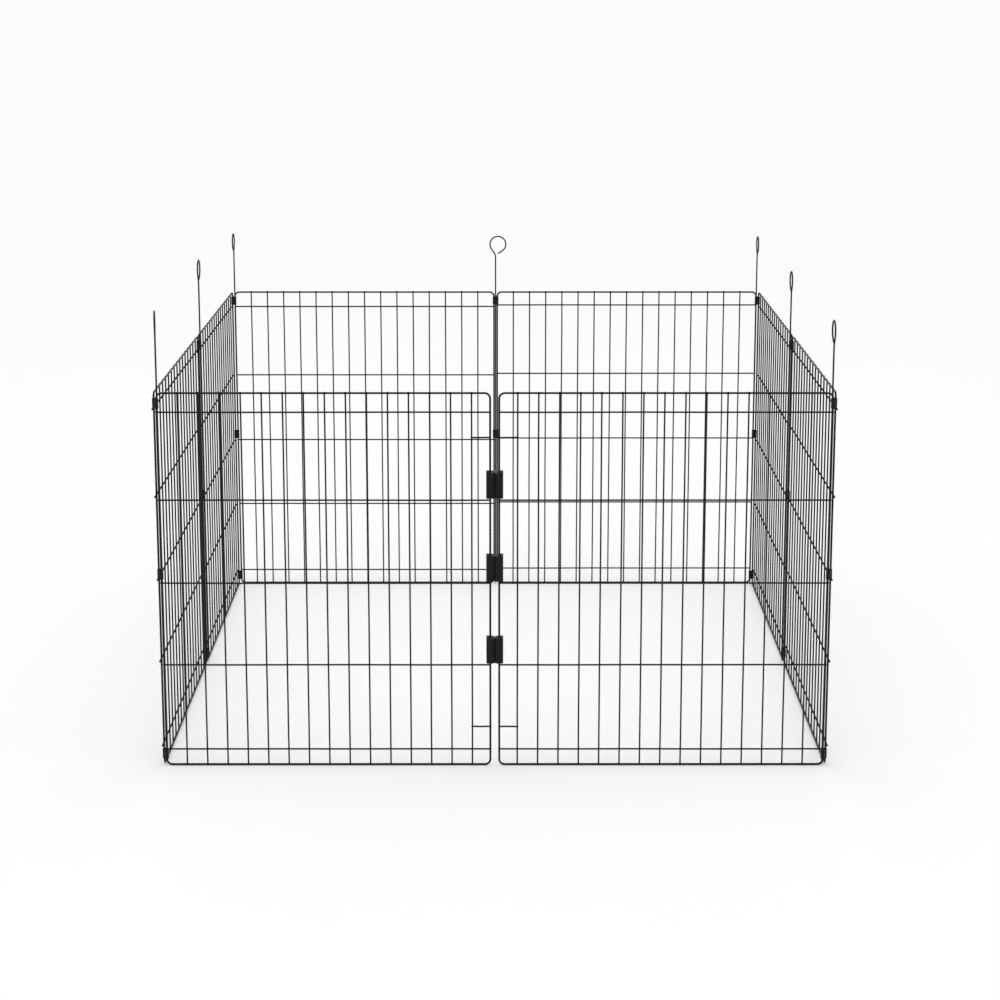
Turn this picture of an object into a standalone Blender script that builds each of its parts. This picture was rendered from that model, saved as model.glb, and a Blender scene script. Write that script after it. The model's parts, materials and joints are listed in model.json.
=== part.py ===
"""Square pet playpen of eight hinged welded-wire panels, in metres, +Z up.

The pen stands on z = 0 with its centre on the Z axis. Its front faces -Y. Seen from above the panels
run clockwise from the opening in the middle of the front: front_left, left_front, left_back,
back_left, back_right, right_back, right_front and front_right. A panel's own frame has +X in that
clockwise direction, +Y out of the pen and +Z up, and its mesh is centred on x = 0.

Seven joints hinge the panels together. At each, three folded metal bands wrap the two neighbouring
edge wires, and a ground stake drops through the same bands on the inner side. Three plastic
connectors close the opening.
"""
import math

import bmesh
import bpy
from mathutils import Vector

# ------------------------------------------------------------------ driving dimensions
CELL = 0.0381                 # spacing of the upright wires, one and a half inches
CELLS = 16                    # cells across a panel
FRAME_HEIGHT = 0.708          # between the centres of the bottom and top rails
FRAME_RADIUS = 0.0019         # the bent frame wire
CORNER_RADIUS = 0.010         # bend of the frame at its corners, on the wire's centreline
CROSS_RADIUS = 0.0016         # the long cross wires
UPRIGHT_RADIUS = 0.0015       # the upright wires
CROSS_OFFSET = 0.0032         # cross wires lie this far outside the frame's plane
CROSS_OVERHANG = 0.0019       # a cross wire's end, past the centre of the edge wire
LEVELS = (0.033, 0.197, 0.354, 0.511, 0.675)  # cross wires above the bottom rail's centre
STAGGER = 0.0018              # neighbours' cross wires differ in height by twice this, to nest
SHORT_LEVELS = (0.077, 0.628)  # short cross wires beside the opening, above the bottom rail's centre

HINGE_SPACING = 0.0076        # between the two edge wires of a hinged joint
OPENING_GAP = 0.0165          # between the two edge wires at the opening
BAND_HEIGHT = 0.0185
BAND_WALL = 0.0007
BAND_CLEARANCE = 0.0003       # round the edge wires and the stake
BAND_GAP = 0.0004             # above the cross wire that a band sits on

STAKE_RADIUS = 0.0016
STAKE_LENGTH = 0.843          # from the tip to the top of the finger loop
STAKE_OFFSET = 0.0042         # the stake's centre, inside the line of the two edge wires
LOOP_RADIUS = 0.0185          # the finger loop's circle, on the wire's centreline
LOOP_SHIFT = 0.0055           # the circle's centre, to one side of the stem
LOOP_DROP = 0.0255            # from the circle's centre down to the neck
LOOP_END = 0.0060             # the wire's end, short of the neck
LOOP_SEGMENTS = 12

CLIP_HEIGHT = 0.050
CLIP_HALF_WIDTH = 0.0074      # of each barrel, which is centred on an edge wire
CLIP_HALF_DEPTH = 0.0080
CLIP_CORNER = 0.0035
CLIP_BORE_RADIUS = 0.0024     # the channel that takes an edge wire
CLIP_WEB = 0.0044             # half the depth of the web between the barrels
CLIP_MOUTH_HELD = 0.0015      # half the mouth on the side that stays on its panel
CLIP_MOUTH_FREE = 0.0024      # half the mouth on the side that lets the other panel go
CLIP_REST = 0.0020            # above the cross wires
CLIP_ARC_STEP = math.radians(30)

FRONT_LOOP_TURN = math.radians(8)   # the front left stake's loop is turned a little

SIDES = 6                     # a wire is a hexagonal prism of the round wire's section area
CORNER_SEGMENTS = 3
BAND_SEGMENTS = 18

# ------------------------------------------------------------------ worked out from them
FLAT = math.sqrt(math.pi / (SIDES * math.tan(math.pi / SIDES)))  # flat-to-centre, for radius 1
VERTEX = FLAT / math.cos(math.pi / SIDES)                        # corner-to-centre, for radius 1

WIDTH = CELL * CELLS                         # between the centres of a panel's edge wires
CORNER_STEP = HINGE_SPACING / math.sqrt(2)   # a corner's two edge wires differ by this in x and y
SIDE = HINGE_SPACING / 2 + WIDTH + CORNER_STEP   # from the pen's centre to a side's frame plane
REACH = HINGE_SPACING / 2 + WIDTH                # from the pen's centre to a side's last edge wire
FRONT_WIDTH = REACH - OPENING_GAP / 2
BOTTOM = FRAME_RADIUS * FLAT                 # height of the bottom rail's centre
TOP = BOTTOM + FRAME_HEIGHT
CROSS_CLEAR = STAGGER + CROSS_RADIUS * VERTEX + BAND_GAP
BAND_BOTTOMS = {
    "bottom": BOTTOM + LEVELS[0] - CROSS_CLEAR - BAND_HEIGHT,
    "middle": BOTTOM + LEVELS[2] + CROSS_CLEAR,
    "top": BOTTOM + LEVELS[4] + CROSS_CLEAR,
}

# turns about Z of something whose own +X runs towards -X, +X, -Y or +Y
TO_LEFT, TO_RIGHT, TO_FRONT, TO_BACK = math.pi, 0.0, -math.pi / 2, math.pi / 2

# ------------------------------------------------------------------ materials


def material(name, color, roughness, metallic):
    """A Principled material."""
    made = bpy.data.materials.new(name)
    made.use_nodes = True
    shader = made.node_tree.nodes["Principled BSDF"]
    shader.inputs["Base Color"].default_value = (*color, 1.0)
    shader.inputs["Roughness"].default_value = roughness
    shader.inputs["Metallic"].default_value = metallic
    made.diffuse_color = (*color, 1.0)
    return made


# ------------------------------------------------------------------ mesh helpers


def tube(bm, points, radius, normal, closed=False):
    """A hexagonal wire along points, which lie in a plane square to normal, with mitred bends."""
    points = [Vector(p) for p in points]
    count = len(points)
    rings = []
    for i, point in enumerate(points):
        before = points[i - 1] if closed or i > 0 else None
        after = points[(i + 1) % count] if closed or i < count - 1 else None
        arriving = (point - before).normalized() if before is not None else None
        leaving = (after - point).normalized() if after is not None else None
        arriving = arriving or leaving
        leaving = leaving or arriving
        along = (arriving + leaving).normalized()
        side = along.cross(normal)
        stretch = 1 / along.dot(arriving)
        ring = []
        for k in range(SIDES):
            angle = (k + 0.5) * math.tau / SIDES
            in_plane = side * (math.cos(angle) * stretch)
            ring.append(bm.verts.new(point + (in_plane + normal * math.sin(angle)) * radius * VERTEX))
        rings.append(ring)
    for i in range(count if closed else count - 1):
        first, second = rings[i], rings[(i + 1) % count]
        for k in range(SIDES):
            n = (k + 1) % SIDES
            bm.faces.new((first[k], first[n], second[n], second[k]))
    if not closed:
        bm.faces.new(rings[0])
        bm.faces.new(reversed(rings[-1]))


def finished(bm, name, smooth=False):
    """The bmesh as a mesh, with every face pointing out."""
    bmesh.ops.recalc_face_normals(bm, faces=bm.faces)
    mesh = bpy.data.meshes.new(name)
    bm.to_mesh(mesh)
    bm.free()
    if smooth:
        mesh.shade_smooth()
        mesh.set_sharp_from_angle(angle=math.radians(65))
    return mesh


def place(name, data, parent=None, location=(0, 0, 0), turn=0.0, look=None):
    """An object, or an empty when data is None, at a place and a turn about Z."""
    made = bpy.data.objects.new(name, data)
    bpy.context.collection.objects.link(made)
    made.parent = parent
    made.location = location
    made.rotation_euler = (0, 0, turn)
    if look is not None and not data.materials:
        data.materials.append(look)
    return made


def prism(bm, outlines, low, high):
    """A prism of one closed outline, or of an outer and an inner one with as many points."""
    loops = [[[bm.verts.new((x, y, z)) for x, y in outline] for z in (low, high)] for outline in outlines]
    for bottom, top in loops:
        for k in range(len(bottom)):
            n = (k + 1) % len(bottom)
            bm.faces.new((bottom[k], bottom[n], top[n], top[k]))
    if len(loops) == 1:
        bm.faces.new(loops[0][0])
        bm.faces.new(loops[0][1])
        return
    for outer, inner in zip(*loops):
        for k in range(len(outer)):
            n = (k + 1) % len(outer)
            bm.faces.new((outer[k], outer[n], inner[n], inner[k]))


# ------------------------------------------------------------------ panels


def frame_mesh(width):
    """The bent frame: one wire round a panel, with rounded corners, centred on x = 0."""
    straight = width / 2 - CORNER_RADIUS
    low, high = BOTTOM + CORNER_RADIUS, TOP - CORNER_RADIUS
    corners = ((straight, low, -math.pi / 2), (straight, high, 0.0), (-straight, high, math.pi / 2),
               (-straight, low, math.pi))
    points = []
    for x, z, start in corners:
        for i in range(CORNER_SEGMENTS + 1):
            angle = start + i * math.pi / 2 / CORNER_SEGMENTS
            points.append((x + CORNER_RADIUS * math.cos(angle), 0, z + CORNER_RADIUS * math.sin(angle)))
    bm = bmesh.new()
    tube(bm, points, FRAME_RADIUS, Vector((0, 1, 0)), closed=True)
    return finished(bm, "frame")


def rods_mesh(width, stagger, opening):
    """A panel's upright and cross wires. opening is the x side that has short cross wires, or 0."""
    hinged = -opening or -1
    bm = bmesh.new()
    for k in range(1, CELLS):
        x = hinged * (width / 2 - k * CELL)
        tube(bm, [(x, 0, BOTTOM), (x, 0, TOP)], UPRIGHT_RADIUS, Vector((1, 0, 0)))
    end = width / 2 + CROSS_OVERHANG
    spans = [(level, -end, end) for level in LEVELS]
    if opening:
        last = opening * ((CELLS - 1) * CELL - width / 2 - CROSS_OVERHANG)
        spans += [(level, *sorted((last, opening * end))) for level in SHORT_LEVELS]
    for level, start, stop in spans:
        z = BOTTOM + level + stagger
        tube(bm, [(start, CROSS_OFFSET, z), (stop, CROSS_OFFSET, z)], CROSS_RADIUS, Vector((0, 0, 1)))
    return finished(bm, "rods")


def panel(name, pivot, turn, from_pivot, frame, rods, look):
    """A panel on an empty at its joint's axis: the bent frame, united with the wires welded to it.

    from_pivot is how far the panel's middle lies from that axis, along the panel's own X."""
    axis = place(name + "_pivot", None, location=(*pivot, 0), turn=turn)
    body = place(name, frame, axis, (from_pivot, 0, 0), look=look)
    wires = place(name + "_wires", rods, axis, (from_pivot, 0, 0), look=look)
    wires.hide_render = True
    wires.display_type = "WIRE"
    weld = body.modifiers.new("weld", "BOOLEAN")
    weld.operation = "UNION"
    weld.solver = "EXACT"
    weld.object = wires


# ------------------------------------------------------------------ hinge bands and stakes


def hull(circles, grow):
    """A belt round circles of (x, y, radius), each radius larger by grow: the farthest point each way."""
    outline = []
    for k in range(BAND_SEGMENTS):
        angle = (k + 0.5) * math.tau / BAND_SEGMENTS
        way = Vector((math.cos(angle), math.sin(angle)))
        x, y, radius = max(circles, key=lambda c: c[0] * way.x + c[1] * way.y + c[2])
        outline.append((x + way.x * (radius + grow), y + way.y * (radius + grow)))
    return outline


def band_mesh():
    """A folded band, in the joint's own frame: +X clockwise round the pen, +Y out of it."""
    half = HINGE_SPACING / 2
    edge = FRAME_RADIUS * VERTEX + BAND_CLEARANCE
    stake = STAKE_RADIUS * VERTEX + BAND_CLEARANCE
    circles = ((-half, 0, edge), (half, 0, edge), (0, -STAKE_OFFSET, stake))
    bm = bmesh.new()
    prism(bm, (hull(circles, BAND_WALL), hull(circles, 0)), 0, BAND_HEIGHT)
    return finished(bm, "band", smooth=True)


def stake_mesh():
    """A stake with its tip at the origin: a straight stem, and a teardrop finger loop in the XZ plane."""
    centre = Vector((LOOP_SHIFT, 0, STAKE_LENGTH - STAKE_RADIUS * VERTEX - LOOP_RADIUS))
    neck = Vector((0, 0, centre.z - LOOP_DROP))
    to_centre = centre - neck
    lean = math.atan2(to_centre.x, to_centre.z)
    spread = math.asin(LOOP_RADIUS / to_centre.length)
    start, stop = lean - spread, lean + spread
    points = [(0, 0, 0), tuple(neck)]
    for i in range(LOOP_SEGMENTS + 1):
        heading = start + (math.pi + 2 * spread) * i / LOOP_SEGMENTS
        points.append((centre.x - LOOP_RADIUS * math.cos(heading), 0,
                       centre.z + LOOP_RADIUS * math.sin(heading)))
    points.append((neck.x + LOOP_END * math.sin(stop), 0, neck.z + LOOP_END * math.cos(stop)))
    bm = bmesh.new()
    tube(bm, points, STAKE_RADIUS, Vector((0, 1, 0)))
    return finished(bm, "stake", smooth=True)


def joint(name, x, y, turn, loop_turn, lift, band, stake, steel, wire):
    """A hinged joint at (x, y): an empty turned so that its +Y faces out of the pen, with three
    bands and a stake. loop_turn is the finger loop's own turn in the pen's frame, and lift is how
    high above the floor the stake's tip rests."""
    axis = place(name + "_hinge", None, location=(x, y, 0), turn=turn)
    for level, z in BAND_BOTTOMS.items():
        place(f"{name}_{level}_band", band, axis, (0, 0, z), look=steel)
    place(name + "_stake", stake, axis, (0, -STAKE_OFFSET, lift), loop_turn - turn, wire)


# ------------------------------------------------------------------ connectors


def arc(x, y, radius, start, stop):
    """Points on a circle about (x, y), from one angle to the other."""
    steps = max(1, round(abs(stop - start) / CLIP_ARC_STEP))
    angles = (start + (stop - start) * i / steps for i in range(steps + 1))
    return [(x + radius * math.cos(a), y + radius * math.sin(a)) for a in angles]


def barrel(mouth):
    """Half of a connector's outline, for x > 0: from the web below, round the barrel's outside to its
    mouth, round the channel's wall, and round the outside again up to the web above."""
    middle = OPENING_GAP / 2
    near, far = middle - CLIP_HALF_WIDTH + CLIP_CORNER, middle + CLIP_HALF_WIDTH - CLIP_CORNER
    corner_y = CLIP_HALF_DEPTH - CLIP_CORNER
    bore = math.asin(mouth / CLIP_BORE_RADIUS)
    quarter = math.pi / 2
    below = (arc(near, -corner_y, CLIP_CORNER, -2 * quarter, -quarter)
             + arc(far, -corner_y, CLIP_CORNER, -quarter, 0))
    above = [(x, -y) for x, y in reversed(below)]
    web, lip = near - CLIP_CORNER, far + CLIP_CORNER
    return ([(web, -CLIP_WEB)] + below + [(lip, -mouth)]
            + arc(middle, 0, CLIP_BORE_RADIUS, -bore, bore - math.tau)
            + [(lip, mouth)] + above + [(web, CLIP_WEB)])


def connector_mesh():
    """A connector, as it stands at the opening: the front_right panel's edge wire runs in its +X
    barrel, and its -X barrel is open enough to let the front_left panel's edge wire out sideways."""
    outline = barrel(CLIP_MOUTH_HELD) + [(-x, -y) for x, y in barrel(CLIP_MOUTH_FREE)]
    bm = bmesh.new()
    prism(bm, (outline,), 0, CLIP_HEIGHT)
    return finished(bm, "connector", smooth=True)


# ------------------------------------------------------------------ the pen


def build_panels(look):
    """The eight panels, each from the mesh of its kind."""
    full = frame_mesh(WIDTH)
    short = frame_mesh(FRONT_WIDTH)
    low_rods = rods_mesh(WIDTH, -STAGGER, 0)
    high_rods = rods_mesh(WIDTH, STAGGER, 0)
    start_opening = rods_mesh(FRONT_WIDTH, -STAGGER, -1)
    end_opening = rods_mesh(FRONT_WIDTH, -STAGGER, 1)
    half = HINGE_SPACING / 2
    for name, pivot, turn, width, side, frame, rods in (
        ("front_left_panel", (-REACH, -SIDE), TO_LEFT, FRONT_WIDTH, -1, short, start_opening),
        ("left_front_panel", (-SIDE, -half), TO_BACK, WIDTH, -1, full, high_rods),
        ("left_back_panel", (-SIDE, REACH), TO_BACK, WIDTH, -1, full, low_rods),
        ("back_left_panel", (-half, SIDE), TO_RIGHT, WIDTH, -1, full, low_rods),
        ("back_right_panel", (half, SIDE), TO_RIGHT, WIDTH, 1, full, high_rods),
        ("right_back_panel", (SIDE, REACH), TO_FRONT, WIDTH, 1, full, low_rods),
        ("right_front_panel", (SIDE, -half), TO_FRONT, WIDTH, 1, full, high_rods),
        ("front_right_panel", (REACH, -SIDE), TO_LEFT, FRONT_WIDTH, 1, short, end_opening),
    ):
        panel(name, pivot, turn, side * width / 2, frame, rods, look)


def build_joints(steel, wire):
    """The seven hinged joints, clockwise from the front left corner."""
    band, stake = band_mesh(), stake_mesh()
    corner = SIDE - CORNER_STEP / 2
    diagonal = math.pi / 4
    for name, x, y, turn, loop_turn, lift in (
        ("front_left_corner", -corner, -corner, 3 * diagonal, TO_BACK + FRONT_LOOP_TURN, 0.017),
        ("left_middle", -SIDE, 0, TO_BACK, TO_BACK, 0.027),
        ("back_left_corner", -corner, corner, diagonal, TO_FRONT, 0.008),
        ("back_middle", 0, SIDE, TO_RIGHT, TO_RIGHT, 0.001),
        ("back_right_corner", corner, corner, -diagonal, TO_FRONT, 0.001),
        ("right_middle", SIDE, 0, TO_FRONT, TO_BACK, 0.003),
        ("front_right_corner", corner, -corner, -3 * diagonal, TO_BACK, 0.0),
    ):
        joint(name, x, y, turn, loop_turn, lift, band, stake, steel, wire)


def build_connectors(plastic):
    """The three connectors, each on the cross wires beside the opening."""
    mesh = connector_mesh()
    for name, level in (("bottom", LEVELS[1]), ("middle", LEVELS[2]), ("top", LEVELS[3])):
        z = BOTTOM + level - STAGGER + CROSS_RADIUS * VERTEX + CLIP_REST
        place(name + "_connector", mesh, None, (0, -SIDE, z), look=plastic)


def main():
    for old in list(bpy.data.objects):
        bpy.data.objects.remove(old, do_unlink=True)
    build_panels(material("panel_wire", (0.022, 0.022, 0.024), 0.38, 0.0))
    build_joints(material("band_steel", (0.020, 0.020, 0.022), 0.42, 0.0),
                 material("stake_wire", (0.024, 0.024, 0.026), 0.36, 0.0))
    build_connectors(material("connector_plastic", (0.018, 0.018, 0.021), 0.55, 0.0))
    bpy.context.view_layer.update()


main()
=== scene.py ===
"""The looks of a square pet playpen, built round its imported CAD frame, in metres, +Z up.

Every CAD solid is replaced by a finer piece that rides on the same body. A panel's own frame has +X
clockwise round the pen seen from above, +Y out of the pen and +Z up, with its origin on the floor
under the panel's middle. A joint's own frame has +X from one panel's edge wire to the next one's,
+Y out of the pen, and its origin on the floor between them.
"""
import json
import math
import random

import bmesh
import bpy
from mathutils import Matrix, Vector


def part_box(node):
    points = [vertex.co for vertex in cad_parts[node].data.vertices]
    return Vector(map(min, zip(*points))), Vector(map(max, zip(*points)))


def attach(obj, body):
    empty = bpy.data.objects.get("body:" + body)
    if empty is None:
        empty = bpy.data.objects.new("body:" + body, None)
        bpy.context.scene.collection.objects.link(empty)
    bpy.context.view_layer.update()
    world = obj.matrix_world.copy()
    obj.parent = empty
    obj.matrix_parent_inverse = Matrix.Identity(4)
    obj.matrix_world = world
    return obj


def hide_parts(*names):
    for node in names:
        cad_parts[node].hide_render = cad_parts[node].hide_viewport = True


# ------------------------------------------------------------------ driving dimensions
CELL = 0.0381                 # spacing of the upright wires
CELLS = 16
FRAME_RADIUS = 0.0019
CORNER_RADIUS = 0.010
CROSS_RADIUS = 0.0016
UPRIGHT_RADIUS = 0.0015
CROSS_OFFSET = 0.0032         # cross wires lie this far outside the frame's plane
UPRIGHT_OFFSET = 0.00045      # uprights, pressed towards the cross wires at the welds
UPRIGHT_TAIL = 0.0026         # an upright's top end, past the centre of the top rail
CROSS_OVERHANG = 0.0019       # a cross wire's end, past the centre of the edge wire
LEVELS = (0.033, 0.197, 0.354, 0.511, 0.675)   # cross wires, above the bottom rail's centre
SHORT_LEVELS = (0.077, 0.628)                  # short cross wires beside the opening
STAGGER = 0.0018              # cross wires are raised by this, or lowered by it
WIRE_WANDER = 0.00022         # how far a wire strays from straight
UPRIGHT_STRAYS = (0.12, 0.37, 0.62, 0.86)      # where it does, as shares of the wire's length
CROSS_STRAYS = (0.2, 0.4, 0.6, 0.8)
PLANE_INSET = 0.00209         # from a panel node's inner face to its frame's plane
RAIL_CENTRE = 0.00181         # the CAD bottom rail's centre, above the floor

# weld beads: their radii along a panel's X, Y and Z, and their centres outside the frame's plane
CROSSING_BEAD, CROSSING_BEAD_OUT = (0.00205, 0.0009, 0.00215), 0.00175
EDGE_BEAD, EDGE_BEAD_OUT = (0.0022, 0.0010, 0.0023), 0.0018
RAIL_BEAD, RAIL_BEAD_OUT = (0.0021, 0.0018, 0.0011), 0.0006
RAIL_BEAD_STEP = 0.0016       # from a rail's centre, towards the panel's middle
BUTT_WELD = (0.0016, 0.0021, 0.0017)
BUTT_WELD_PLACE = 0.14        # where the frame wire's ends meet, from the panel's middle
BEAD_WOBBLE = 0.09
BEAD_LATITUDES = (-62, -26, 12, 52)

BAND_WALL = 0.0007
BAND_CLEARANCE = 0.0005       # round the edge wires and the stake
BAND_PINCH = 0.00055          # how far the band is pressed in between the two edge wires
BAND_GROOVE = 0.0003
BAND_LAP = 0.0005             # how far the sheet's end stands proud, where it lies over itself
BAND_LAP_START = 0.10         # along the band's outline, as a share of it
BAND_LAP_LENGTH = 0.16
BAND_PINCH_WIDTH = 0.0015
BAND_GROOVE_SOFTNESS = 0.0007
BAND_RIM = 0.00025            # how much the band's upper and lower edges are eased
BAND_POINTS = 72
BELT_SAMPLES = 1440

STAKE_RADIUS = 0.0016
STAKE_OFFSET = 0.0042         # the stake's centre, inside the line of the two edge wires
LOOP_RADIUS = 0.0185
LOOP_SHIFT = 0.0055
LOOP_DROP = 0.0255
LOOP_END = 0.0060
NECK_BEND = 0.0045            # where the stem starts to bend, below the neck

OPENING_GAP = 0.0165          # between the two edge wires at the opening
CLIP_HALF_WIDTH = 0.0074      # of each barrel
CLIP_HALF_DEPTH = 0.0080
CLIP_CORNER = 0.0035
CLIP_BORE_RADIUS = 0.0024
CLIP_WEB = 0.0044
CLIP_MOUTH_HELD = 0.0015
CLIP_MOUTH_FREE = 0.0024
CLIP_EAR = 0.0016             # width of the raised corner at each end of the hollowed top
CLIP_DIPS = ((-0.012, 0.0036), (0.012, 0.0003))   # the hollow's depth before and behind the clip
CLIP_HEADROOM = 0.003         # how far the hollow's cutter reaches above the clip
CLIP_ROUNDING = 0.00055       # of its moulded edges
RIDGES = 3                    # grip ridges low on each barrel's front
RIDGE_BOTTOM = 0.0030
RIDGE_STEP = 0.0024
RIDGE_LENGTH = 0.0072
RIDGE_RADIUS = 0.0007

PANELS = {                    # clockwise from the opening: how the panel's +X is turned about Z
    "front_left_panel": math.pi,
    "left_front_panel": math.pi / 2,
    "left_back_panel": math.pi / 2,
    "back_left_panel": 0.0,
    "back_right_panel": 0.0,
    "right_back_panel": -math.pi / 2,
    "right_front_panel": -math.pi / 2,
    "front_right_panel": math.pi,
}
RAISED = ("left_front_panel", "back_right_panel", "right_front_panel")
OPENING_SIDE = {"front_left_panel": -1, "front_right_panel": 1}
LOOP_TURNS = {                # clockwise from the front left corner: the finger loop's turn about Z
    "front_left_corner": math.radians(98),
    "left_middle": math.pi / 2,
    "back_left_corner": -math.pi / 2,
    "back_middle": 0.0,
    "back_right_corner": -math.pi / 2,
    "right_middle": math.pi / 2,
    "front_right_corner": math.pi / 2,
}

# a wire's end: how far back from it, in wire radii, and how wide the wire is there
CUT_END = ((0.4, 1.0), (0.12, 0.9), (0.0, 0.68))
ROUND_END = ((1.0, 1.0), (0.62, 0.93), (0.3, 0.74), (0.08, 0.42), (0.0, 0.15))
STAKE_TIP = ((5.0, 1.0), (2.5, 0.86), (0.5, 0.55), (0.0, 0.3))

CLOUD_SCALE = 42.0            # cells to the metre of the finishes' soft clouds
CLOUD_STOPS = (0.36, 0.68)    # the cloud values that are fully dark and fully light

FLOOR_SIZE = 400.0
FLOOR_DROP = 0.0002           # below the pen's lowest point
FLOOR_SHADES = (0.955, 0.97)
SOFTBOX_PLACE = (0.0, -0.4, 3.4)
SOFTBOX_SIZE = 3.0
SOFTBOX_POWER = 10.0
CAMERA_PLACE = (0.0073, -4.5933, 1.4880)
CAMERA_TILT = math.radians(11.256)   # below the horizontal
CAMERA_TURN = -0.0006
CAMERA_LENS = 80.51
CAMERA_SHIFT = -0.10

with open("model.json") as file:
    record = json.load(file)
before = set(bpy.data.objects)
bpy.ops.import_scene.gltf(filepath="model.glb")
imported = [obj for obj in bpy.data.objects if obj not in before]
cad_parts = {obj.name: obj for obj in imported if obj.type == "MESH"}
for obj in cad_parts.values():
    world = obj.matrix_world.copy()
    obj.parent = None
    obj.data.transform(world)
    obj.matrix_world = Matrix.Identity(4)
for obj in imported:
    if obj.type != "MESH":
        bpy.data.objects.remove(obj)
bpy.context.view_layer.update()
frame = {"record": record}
random.seed(7)

# ------------------------------------------------------------------ materials


def add(tree, kind, settings=(), **inputs):
    """A shader node. An input is a value, or another node's output to link to it."""
    made = tree.nodes.new(kind)
    for name, value in settings:
        setattr(made, name, value)
    for name, value in inputs.items():
        socket = made.inputs[name.replace("_", " ")]
        if isinstance(value, bpy.types.NodeSocket):
            tree.links.new(value, socket)
        else:
            socket.default_value = value
    return made


def finish(name, dark, light, roughness, specular, grain, relief):
    """A dark coating or plastic. Its colour drifts from dark to light and its roughness between two
    values in soft clouds, over a grain of so many cells to the metre that stands relief high."""
    made = bpy.data.materials.new(name)
    made.use_nodes = True
    tree = made.node_tree
    shader = tree.nodes["Principled BSDF"]
    shader.inputs["Specular IOR Level"].default_value = specular
    where = add(tree, "ShaderNodeTexCoord").outputs["Object"]
    cloud = add(tree, "ShaderNodeTexNoise", Vector=where, Scale=CLOUD_SCALE, Detail=4.0, Roughness=0.6)
    speck = add(tree, "ShaderNodeTexNoise", Vector=where, Scale=grain, Detail=2.0, Roughness=0.55)
    ramp = add(tree, "ShaderNodeValToRGB", Fac=cloud.outputs["Fac"])
    for stop, place, colour in zip(ramp.color_ramp.elements, CLOUD_STOPS, (dark, light)):
        stop.position = place
        stop.color = (*colour, 1.0)
    tree.links.new(ramp.outputs["Color"], shader.inputs["Base Color"])
    mixed = add(tree, "ShaderNodeMath", (("operation", "MULTIPLY_ADD"),))
    tree.links.new(speck.outputs["Fac"], mixed.inputs[0])
    mixed.inputs[1].default_value = 0.5
    tree.links.new(cloud.outputs["Fac"], mixed.inputs[2])
    rough = add(tree, "ShaderNodeMapRange", Value=mixed.outputs["Value"], From_Min=0.45, From_Max=1.0,
                To_Min=roughness[0], To_Max=roughness[1])
    tree.links.new(rough.outputs["Result"], shader.inputs["Roughness"])
    bump = add(tree, "ShaderNodeBump", Height=speck.outputs["Fac"], Strength=0.6, Distance=relief)
    tree.links.new(bump.outputs["Normal"], shader.inputs["Normal"])
    return made


def floor_finish():
    """A plain matt studio floor with the faintest mottling."""
    made = bpy.data.materials.new("studio_floor")
    made.use_nodes = True
    tree = made.node_tree
    shader = tree.nodes["Principled BSDF"]
    shader.inputs["Roughness"].default_value = 0.9
    shader.inputs["Specular IOR Level"].default_value = 0.1
    where = add(tree, "ShaderNodeTexCoord").outputs["Object"]
    cloud = add(tree, "ShaderNodeTexNoise", Vector=where, Scale=1.2, Detail=2.0)
    ramp = add(tree, "ShaderNodeValToRGB", Fac=cloud.outputs["Fac"])
    for stop, shade in zip(ramp.color_ramp.elements, FLOOR_SHADES):
        stop.color = (shade, shade, shade, 1.0)
    tree.links.new(ramp.outputs["Color"], shader.inputs["Base Color"])
    return made


# ------------------------------------------------------------------ mesh helpers


def skin(bm, rings, closed=False, slot=0):
    """Faces between rings of as many vertices each. Unless closed, the first and last are capped."""
    count = len(rings[0])
    pairs = list(zip(rings, rings[1:] + (rings[:1] if closed else [])))
    for first, second in pairs:
        for k in range(count):
            n = (k + 1) % count
            face = bm.faces.new((first[k], first[n], second[n], second[k]))
            face.material_index = slot
    if not closed:
        for ring in (rings[0], rings[-1]):
            bm.faces.new(ring).material_index = slot


def wire(bm, points, radius, normal, sides=12, closed=False, ends=(CUT_END, CUT_END)):
    """A round wire along points, which lie in a plane square to normal, with shaped ends."""
    points = [Vector(p) for p in points]
    count = len(points)
    stations = []             # a place, the wire's direction there, and its width
    for i, point in enumerate(points):
        before = points[i - 1] if closed or i else None
        after = points[(i + 1) % count] if closed or i < count - 1 else None
        arriving = (point - before).normalized() if before is not None else None
        leaving = (after - point).normalized() if after is not None else None
        if before is None:
            stations += [(point + leaving * (back * radius), leaving, width)
                         for back, width in reversed(ends[0])]
        elif after is None:
            stations += [(point - arriving * (back * radius), arriving, width)
                         for back, width in ends[1]]
        else:
            stations.append((point, (arriving + leaving).normalized(), 1.0))
    rings = []
    for place, along, width in stations:
        side = along.cross(normal)
        rings.append([
            bm.verts.new(place + (side * math.cos(a) + normal * math.sin(a)) * (radius * width))
            for a in (k * math.tau / sides for k in range(sides))])
    skin(bm, rings, closed)


def bead(bm, centre, radii, segments=9, slot=1):
    """A drop of weld metal, a little uneven."""
    wobble = [1 + random.uniform(-BEAD_WOBBLE, BEAD_WOBBLE) for _ in range(segments)]
    rings = []
    for latitude in BEAD_LATITUDES:
        flat, high = math.cos(math.radians(latitude)), math.sin(math.radians(latitude))
        rings.append([
            bm.verts.new(Vector(centre) + Vector((
                radii[0] * flat * wobble[k] * math.cos(k * math.tau / segments),
                radii[1] * high,
                radii[2] * flat * wobble[k] * math.sin(k * math.tau / segments))))
            for k in range(segments)])
    skin(bm, rings, slot=slot)


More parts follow.
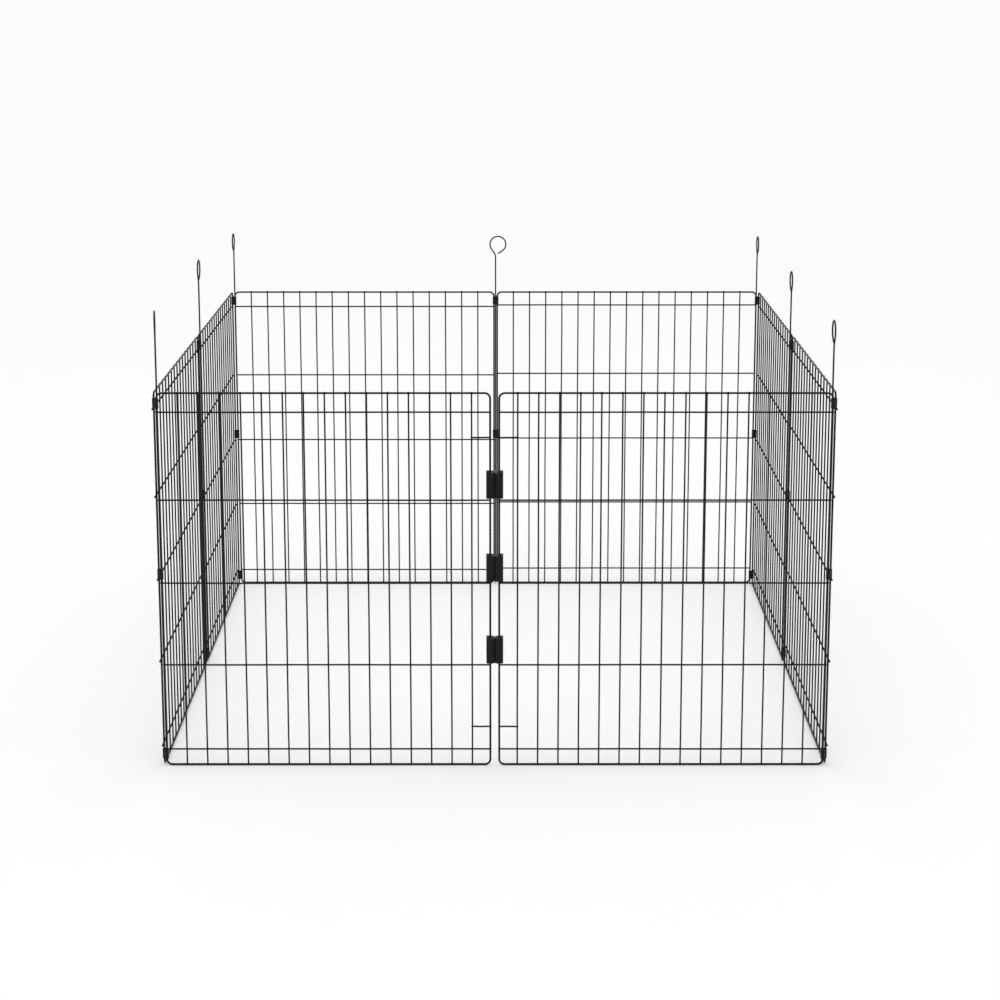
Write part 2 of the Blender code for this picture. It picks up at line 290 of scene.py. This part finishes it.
def piece(name, bm, matrix, materials, node, body, sharp=48):
    """The bmesh as a smooth-shaded piece that stands for a CAD node and rides on its body."""
    bmesh.ops.recalc_face_normals(bm, faces=bm.faces)
    mesh = bpy.data.meshes.new(name)
    bm.to_mesh(mesh)
    bm.free()
    for material in materials:
        mesh.materials.append(material)
    mesh.shade_smooth()
    mesh.set_sharp_from_angle(angle=math.radians(sharp))
    made = bpy.data.objects.new(name, mesh)
    bpy.context.collection.objects.link(made)
    made.matrix_world = matrix
    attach(made, body)
    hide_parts(node)
    return made


def body_of(node):
    """The name of the CAD body that a node belongs to."""
    bodies = frame["record"]["behaviour"]["bodies"]
    return next(name for name, nodes in bodies.items() if node in nodes)


# ------------------------------------------------------------------ panels


def panel_place(name):
    """A panel's matrix, the distance between its edge wires, and the height of its node."""
    low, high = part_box(name)
    turn = PANELS[name]
    along = Vector((math.cos(turn), math.sin(turn), 0))
    outward = Vector((-math.sin(turn), math.cos(turn), 0))
    middle = along * along.dot((low + high) / 2)
    inner = min(low.dot(outward), high.dot(outward))
    width = abs((high - low).dot(along)) - 2 * CROSS_OVERHANG
    place = Matrix.Translation(middle + outward * (inner + PLANE_INSET)) @ Matrix.Rotation(turn, 4, "Z")
    return place, width, high.z


def rounded_frame(width, low, high):
    """The centreline of the bent frame wire."""
    straight = width / 2 - CORNER_RADIUS
    points = []
    for quarter, (x, z) in enumerate(((straight, low + CORNER_RADIUS), (straight, high - CORNER_RADIUS),
                                      (-straight, high - CORNER_RADIUS),
                                      (-straight, low + CORNER_RADIUS))):
        for i in range(9):
            angle = (quarter - 1 + i / 8) * math.pi / 2
            points.append((x + CORNER_RADIUS * math.cos(angle), 0, z + CORNER_RADIUS * math.sin(angle)))
    return points


def wandering(start, stop, stations, across):
    """A nearly straight run from start to stop, which strays along across at the given fractions."""
    start, stop = Vector(start), Vector(stop)
    inner = [start.lerp(stop, t) + Vector(across) * random.uniform(-WIRE_WANDER, WIRE_WANDER)
             for t in stations]
    return [start] + inner + [stop]


def build_panel(name, coat, weld):
    place, width, height = panel_place(name)
    low, high = FRAME_RADIUS, height - FRAME_RADIUS
    raise_by = STAGGER if name in RAISED else -STAGGER
    opening = OPENING_SIDE.get(name, 0)
    hinged = -opening or -1
    uprights = [hinged * (width / 2 - k * CELL) for k in range(1, CELLS)]
    bm = bmesh.new()
    wire(bm, rounded_frame(width, low, high), FRAME_RADIUS, Vector((0, 1, 0)), sides=16, closed=True)
    for x in uprights:
        wire(bm, wandering((x, UPRIGHT_OFFSET, low), (x, UPRIGHT_OFFSET, high + UPRIGHT_TAIL),
                           UPRIGHT_STRAYS, (1, 0, 0)), UPRIGHT_RADIUS, Vector((0, 1, 0)))
    end = width / 2 + CROSS_OVERHANG
    spans = [(level, -end, end) for level in LEVELS]
    if opening:
        last = opening * ((CELLS - 1) * CELL - width / 2 - CROSS_OVERHANG)
        spans += [(level, *sorted((last, opening * end))) for level in SHORT_LEVELS]
    for level, start, stop in spans:
        z = RAIL_CENTRE + level + raise_by
        wire(bm, wandering((start, CROSS_OFFSET, z), (stop, CROSS_OFFSET, z),
                           CROSS_STRAYS, (0, 0, 1)), CROSS_RADIUS, Vector((0, 1, 0)))
        for places, out, radii in ((uprights, CROSSING_BEAD_OUT, CROSSING_BEAD),
                                   ((-width / 2, width / 2), EDGE_BEAD_OUT, EDGE_BEAD)):
            for x in places:
                if start < x < stop:
                    bead(bm, (x, out, z), radii)
    for x in uprights:
        for z, way in ((low, 1), (high, -1)):
            bead(bm, (x, RAIL_BEAD_OUT, z + way * RAIL_BEAD_STEP), RAIL_BEAD)
    bead(bm, (-hinged * BUTT_WELD_PLACE, 0, low), BUTT_WELD)
    piece(name + "_welded_wire", bm, place, (coat, weld), name, body_of(name))


# ------------------------------------------------------------------ hinge bands and stakes


def joint_place(before, after):
    """A joint's matrix and the distance between its two edge wires."""
    first, width, _ = panel_place(before)
    start = first @ Vector((width / 2, 0, 0))
    second, width, _ = panel_place(after)
    stop = second @ Vector((-width / 2, 0, 0))
    across = stop - start
    turn = math.atan2(across.y, across.x)
    return Matrix.Translation((start + stop) / 2) @ Matrix.Rotation(turn, 4, "Z"), across.length, turn


def belt(circles, count):
    """An outline round circles of (x, y, radius), as count points evenly spaced along it."""
    dense = []
    for k in range(BELT_SAMPLES):
        angle = k * math.tau / BELT_SAMPLES
        way = Vector((math.cos(angle), math.sin(angle)))
        x, y, radius = max(circles, key=lambda c: c[0] * way.x + c[1] * way.y + c[2])
        dense.append(Vector((x, y)) + way * radius)
    dense.append(dense[0])
    lengths = [(b - a).length for a, b in zip(dense, dense[1:])]
    step = sum(lengths) / count
    outline, run, target = [], 0.0, 0.0
    for a, b, length in zip(dense, dense[1:], lengths):
        while length and target < run + length and len(outline) < count:
            outline.append(a.lerp(b, (target - run) / length))
            target += step
        run += length
    return outline


def build_band(node, place, spacing, steel):
    low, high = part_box(node)
    height = high.z - low.z
    edge = FRAME_RADIUS + BAND_CLEARANCE
    circles = ((-spacing / 2, 0, edge), (spacing / 2, 0, edge),
               (0, -STAKE_OFFSET, STAKE_RADIUS + BAND_CLEARANCE))
    outline = belt(circles, BAND_POINTS)
    normals = []
    for k, point in enumerate(outline):
        along = outline[(k + 1) % BAND_POINTS] - outline[k - 1]
        normals.append(Vector((along.y, -along.x)).normalized())

    def lap(k):
        """The sheet's end stands proud, and the sheet under it runs out smoothly."""
        past = (k / BAND_POINTS - BAND_LAP_START) / BAND_LAP_LENGTH
        return BAND_LAP * (1 - past) if 0 <= past <= 1 else 0.0

    def pinched(k):
        """A point of the outline, pressed in between the two edge wires on the outer side."""
        point = outline[k]
        press = BAND_PINCH * math.exp(-(point.x / BAND_PINCH_WIDTH) ** 2) if point.y > 0 else 0.0
        return point - normals[k] * press

    soft, rim = BAND_GROOVE_SOFTNESS, BAND_RIM
    profile = [(0, BAND_WALL - rim), (rim, BAND_WALL)]
    for groove in (height / 3, 2 * height / 3):
        for step, depth in ((-1, 0), (-0.5, 0.7), (0, 1), (0.5, 0.7), (1, 0)):
            profile.append((groove + step * soft, BAND_WALL - depth * BAND_GROOVE))
    profile += [(height - rim, BAND_WALL), (height, BAND_WALL - rim)]
    bm = bmesh.new()
    rings = []
    for z, out in profile:
        rings.append([bm.verts.new((*(pinched(k) + normals[k] * (out + lap(k))), z))
                      for k in range(BAND_POINTS)])
    for z in (height - rim, rim):
        rings.append([bm.verts.new((*pinched(k), z)) for k in range(BAND_POINTS)])
    skin(bm, rings, closed=True)
    lifted = Matrix.Translation((0, 0, low.z)) @ place
    piece(node + "_folded_strip", bm, lifted, (steel,), node, body_of(node), sharp=35)


def stake_line(height):
    """The stake's centreline from its tip up the stem, round the finger loop and back to the neck."""
    centre = Vector((LOOP_SHIFT, 0, height - STAKE_RADIUS - LOOP_RADIUS))
    neck = Vector((0, 0, centre.z - LOOP_DROP))
    to_centre = centre - neck
    lean = math.atan2(to_centre.x, to_centre.z)
    spread = math.asin(LOOP_RADIUS / to_centre.length)
    start, stop = lean - spread, lean + spread
    below = neck - Vector((0, 0, NECK_BEND))
    beyond = neck + Vector((math.sin(start), 0, math.cos(start))) * NECK_BEND
    points = [Vector((0, 0, 0)), Vector((0, 0, height * 0.3)), Vector((0, 0, height * 0.6))]
    for i in range(7):
        t = i / 6
        points.append(below * (1 - t) ** 2 + neck * (2 * t * (1 - t)) + beyond * t * t)
    for i in range(41):
        heading = start + (math.pi + 2 * spread) * i / 40
        points.append(Vector((centre.x - LOOP_RADIUS * math.cos(heading), 0,
                              centre.z + LOOP_RADIUS * math.sin(heading))))
    points.append(neck + Vector((math.sin(stop), 0, math.cos(stop))) * LOOP_END)
    return points


def build_joint(name, before, after, steel, rod):
    place, spacing, turn = joint_place(before, after)
    for level in ("bottom", "middle", "top"):
        build_band(f"{name}_{level}_band", place, spacing, steel)
    node = name + "_stake"
    low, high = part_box(node)
    bm = bmesh.new()
    wire(bm, stake_line(high.z - low.z), STAKE_RADIUS, Vector((0, 1, 0)), sides=16,
         ends=(STAKE_TIP, ROUND_END))
    stem = place @ Matrix.Translation((0, -STAKE_OFFSET, low.z)) @ Matrix.Rotation(
        LOOP_TURNS[name] - turn, 4, "Z")
    piece(node + "_wire", bm, stem, (rod,), node, body_of(node))


# ------------------------------------------------------------------ connectors


def arc(x, y, radius, start, stop, steps):
    """Points on a circle about (x, y), from one angle to the other."""
    angles = (start + (stop - start) * i / steps for i in range(steps + 1))
    return [(x + radius * math.cos(a), y + radius * math.sin(a)) for a in angles]


def barrel(mouth):
    """Half of a connector's outline, for x > 0: from the web below, round the barrel's outside to its
    mouth, round the channel's wall, and round the outside again up to the web above."""
    middle = OPENING_GAP / 2
    near, far = middle - CLIP_HALF_WIDTH + CLIP_CORNER, middle + CLIP_HALF_WIDTH - CLIP_CORNER
    corner_y = CLIP_HALF_DEPTH - CLIP_CORNER
    bore = math.asin(mouth / CLIP_BORE_RADIUS)
    quarter = math.pi / 2
    below = (arc(near, -corner_y, CLIP_CORNER, -2 * quarter, -quarter, 7)
             + arc(far, -corner_y, CLIP_CORNER, -quarter, 0, 7))
    above = [(x, -y) for x, y in reversed(below)]
    web, lip = near - CLIP_CORNER, far + CLIP_CORNER
    return ([(web, -CLIP_WEB)] + below + [(lip, -mouth)]
            + arc(middle, 0, CLIP_BORE_RADIUS, -bore, bore - math.tau, 20)
            + [(lip, mouth)] + above + [(web, CLIP_WEB)])


def solid(name, bm):
    """A helper object for a Boolean."""
    bmesh.ops.recalc_face_normals(bm, faces=bm.faces)
    mesh = bpy.data.meshes.new(name)
    bm.to_mesh(mesh)
    bm.free()
    made = bpy.data.objects.new(name, mesh)
    bpy.context.collection.objects.link(made)
    return made


def grip_ridge(bm, x, z):
    """A short rounded bar along X on a barrel's front face."""
    ends = [(x + side * RIDGE_LENGTH / 2, -CLIP_HALF_DEPTH, z) for side in (-1, 1)]
    wire(bm, ends, RIDGE_RADIUS, Vector((0, 0, 1)), ends=(ROUND_END, ROUND_END))


def build_connector(name, plastic):
    low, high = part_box(name)
    height = high.z - low.z
    outline = barrel(CLIP_MOUTH_HELD) + [(-x, -y) for x, y in barrel(CLIP_MOUTH_FREE)]
    bm = bmesh.new()
    skin(bm, [[bm.verts.new((x, y, z)) for x, y in outline] for z in (0, height)])
    block = solid(name + "_block", bm)
    # the top is hollowed from barrel to barrel, deeper at the front, which leaves a raised corner
    # at each side
    bm = bmesh.new()
    half = OPENING_GAP / 2 + CLIP_HALF_WIDTH - CLIP_EAR
    brim = height + CLIP_HEADROOM
    rings = []
    for y, dip in CLIP_DIPS:
        radius = (half ** 2 + dip ** 2) / (2 * dip)
        sweep = math.asin(half / radius)
        dish = arc(0, height - dip + radius, radius, -math.pi / 2 - sweep, -math.pi / 2 + sweep, 28)
        rings.append([bm.verts.new((x, y, z)) for x, z in [(-half, brim)] + dish + [(half, brim)]])
    skin(bm, rings)
    cutter = solid(name + "_cutter", bm)
    cut = block.modifiers.new("hollows", "BOOLEAN")
    cut.operation, cut.solver, cut.object = "DIFFERENCE", "EXACT", cutter
    rounding = block.modifiers.new("moulded_edges", "BEVEL")
    rounding.width, rounding.segments = CLIP_ROUNDING, 3
    rounding.limit_method, rounding.angle_limit = "ANGLE", math.radians(38)
    bpy.context.view_layer.update()
    shaped = block.evaluated_get(bpy.context.evaluated_depsgraph_get()).to_mesh()
    bm = bmesh.new()
    bm.from_mesh(shaped)
    for helper in (block, cutter):
        bpy.data.objects.remove(helper, do_unlink=True)
    for x in (-OPENING_GAP / 2, OPENING_GAP / 2):
        for k in range(RIDGES):
            grip_ridge(bm, x, RIDGE_BOTTOM + k * RIDGE_STEP)
    place = Matrix.Translation((0, (low.y + high.y) / 2, low.z))
    piece(name + "_moulding", bm, place, (plastic,), name, body_of(name), sharp=30)


# ------------------------------------------------------------------ the pen

coat = finish("black_coated_wire", (0.0015, 0.0015, 0.0018), (0.004, 0.004, 0.0045), (0.30, 0.46), 0.16,
              1100.0, 0.00007)
weld = finish("coated_weld", (0.0014, 0.0014, 0.0014), (0.005, 0.0047, 0.0044), (0.42, 0.62), 0.14,
              1900.0, 0.00016)
steel = finish("black_coated_strip", (0.0018, 0.0018, 0.002), (0.005, 0.005, 0.0055), (0.34, 0.52), 0.16,
               1400.0, 0.00006)
rod = finish("black_coated_rod", (0.0015, 0.0015, 0.0018), (0.0045, 0.0045, 0.005), (0.28, 0.42), 0.17,
             1000.0, 0.00006)
plastic = finish("moulded_black_plastic", (0.0026, 0.0031, 0.0044), (0.0052, 0.006, 0.0082), (0.34, 0.48),
                 0.17, 2600.0, 0.00008)

for panel_name in PANELS:
    build_panel(panel_name, coat, weld)
names = list(PANELS)
for joint_name, before, after in zip(LOOP_TURNS, names, names[1:]):
    build_joint(joint_name, before, after, steel, rod)
for level in ("bottom", "middle", "top"):
    build_connector(level + "_connector", plastic)

# ------------------------------------------------------------------ stage, light and camera

bm = bmesh.new()
bmesh.ops.create_grid(bm, x_segments=2, y_segments=2, size=FLOOR_SIZE / 2)
mesh = bpy.data.meshes.new("studio_floor")
bm.to_mesh(mesh)
bm.free()
mesh.materials.append(floor_finish())
floor = bpy.data.objects.new("studio_floor", mesh)
floor.location.z = -FLOOR_DROP
bpy.context.collection.objects.link(floor)

world = bpy.data.worlds.new("studio")
world.use_nodes = True
world.node_tree.nodes["Background"].inputs["Color"].default_value = (1.0, 1.0, 1.0, 1.0)
world.node_tree.nodes["Background"].inputs["Strength"].default_value = 1.0
bpy.context.scene.world = world
bpy.context.scene.view_settings.view_transform = "Standard"


def softbox(name, place, target, size, power):
    """A square area light at place, aimed at target."""
    light = bpy.data.lights.new(name, "AREA")
    light.shape, light.size, light.energy = "SQUARE", size, power
    made = bpy.data.objects.new(name, light)
    made.location = place
    made.rotation_euler = (Vector(target) - Vector(place)).to_track_quat("-Z", "Y").to_euler()
    bpy.context.collection.objects.link(made)


softbox("overhead_softbox", SOFTBOX_PLACE, (0, 0, 0), SOFTBOX_SIZE, SOFTBOX_POWER)

lens = bpy.data.cameras.new("camera")
lens.lens, lens.sensor_width = CAMERA_LENS, 36.0
lens.shift_y = CAMERA_SHIFT
lens.clip_end = 500.0
camera = bpy.data.objects.new("camera", lens)
camera.location = CAMERA_PLACE
camera.rotation_euler = (math.pi / 2 - CAMERA_TILT, 0.0, CAMERA_TURN)
bpy.context.collection.objects.link(camera)
bpy.context.scene.camera = camera
